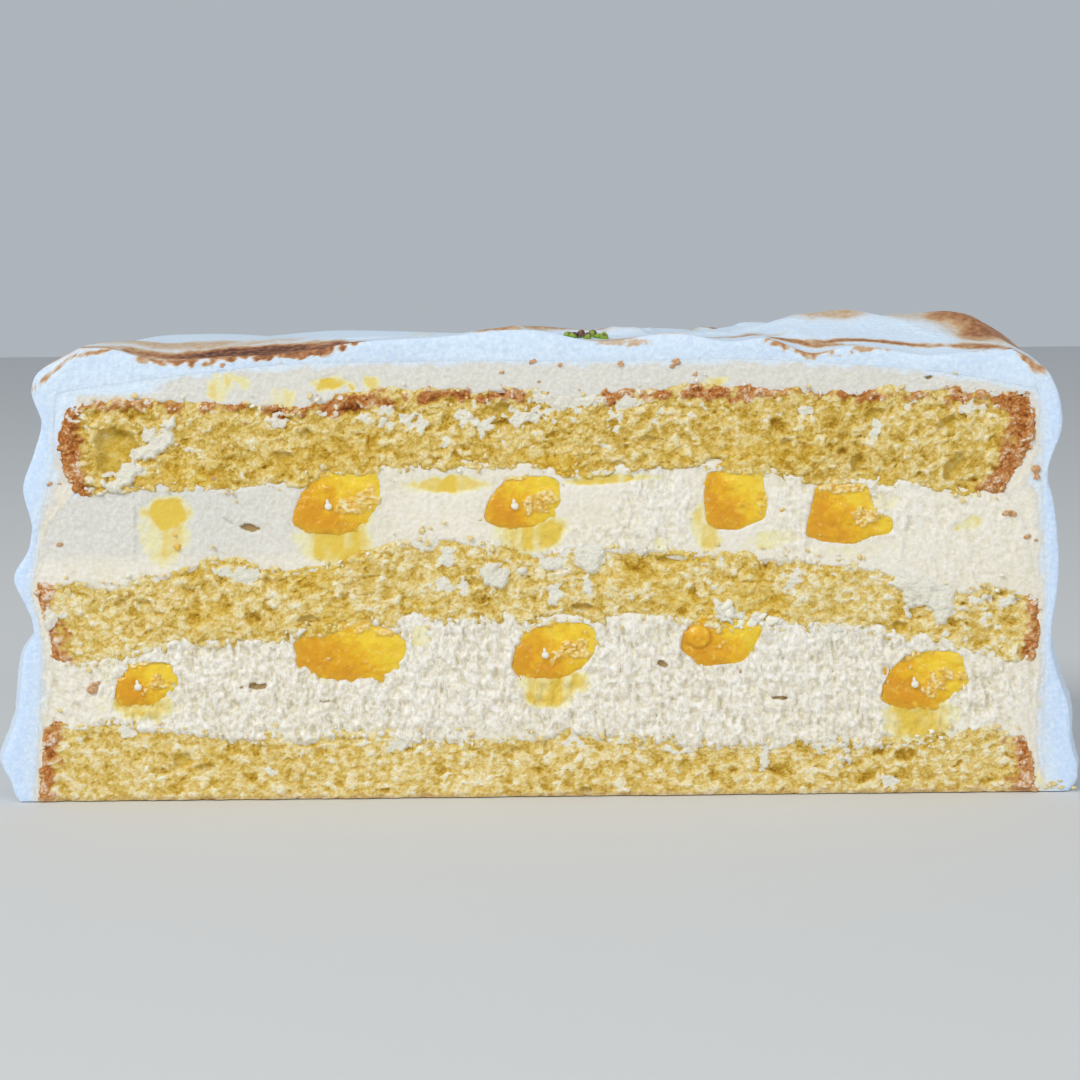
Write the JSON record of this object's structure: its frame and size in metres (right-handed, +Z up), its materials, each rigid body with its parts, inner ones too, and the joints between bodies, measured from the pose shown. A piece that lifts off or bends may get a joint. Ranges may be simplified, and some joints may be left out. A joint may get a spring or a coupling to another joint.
{
  "type": "lemon cake",
  "caption": "Half of a round layered lemon sponge cake with cream fillings, rings of lemon curd and a torched meringue coat, standing on its flat base with the cut face in front.",
  "frame": {"origin": "middle of the footprint's bounding box, on the flat base", "axes": "+Z up, +X along the cut face to the right, the cut face looks along -Y and the rounded back is at +Y"},
  "size_m": [0.2194, 0.1088, 0.0966],
  "materials": {
    "sponge": "open yellow crumb with a browned crust",
    "cream": "soft ivory whipped cream, satin",
    "meringue": "smooth white meringue with toasted ridges",
    "curd": "glossy orange-yellow gel"
  },
  "bodies": {
    "root": {"sponge_bottom": "sponge", "sponge_middle": "sponge", "sponge_top": "sponge", "cream_lower": "cream", "cream_upper": "cream", "cream_coat": "cream", "meringue": "meringue", "curd_lower_outer": "curd", "curd_lower_inner": "curd", "curd_lower_centre": "curd", "curd_upper_outer": "curd", "curd_upper_inner": "curd", "curd_upper_centre": "curd"}
  },
  "joints": []
}
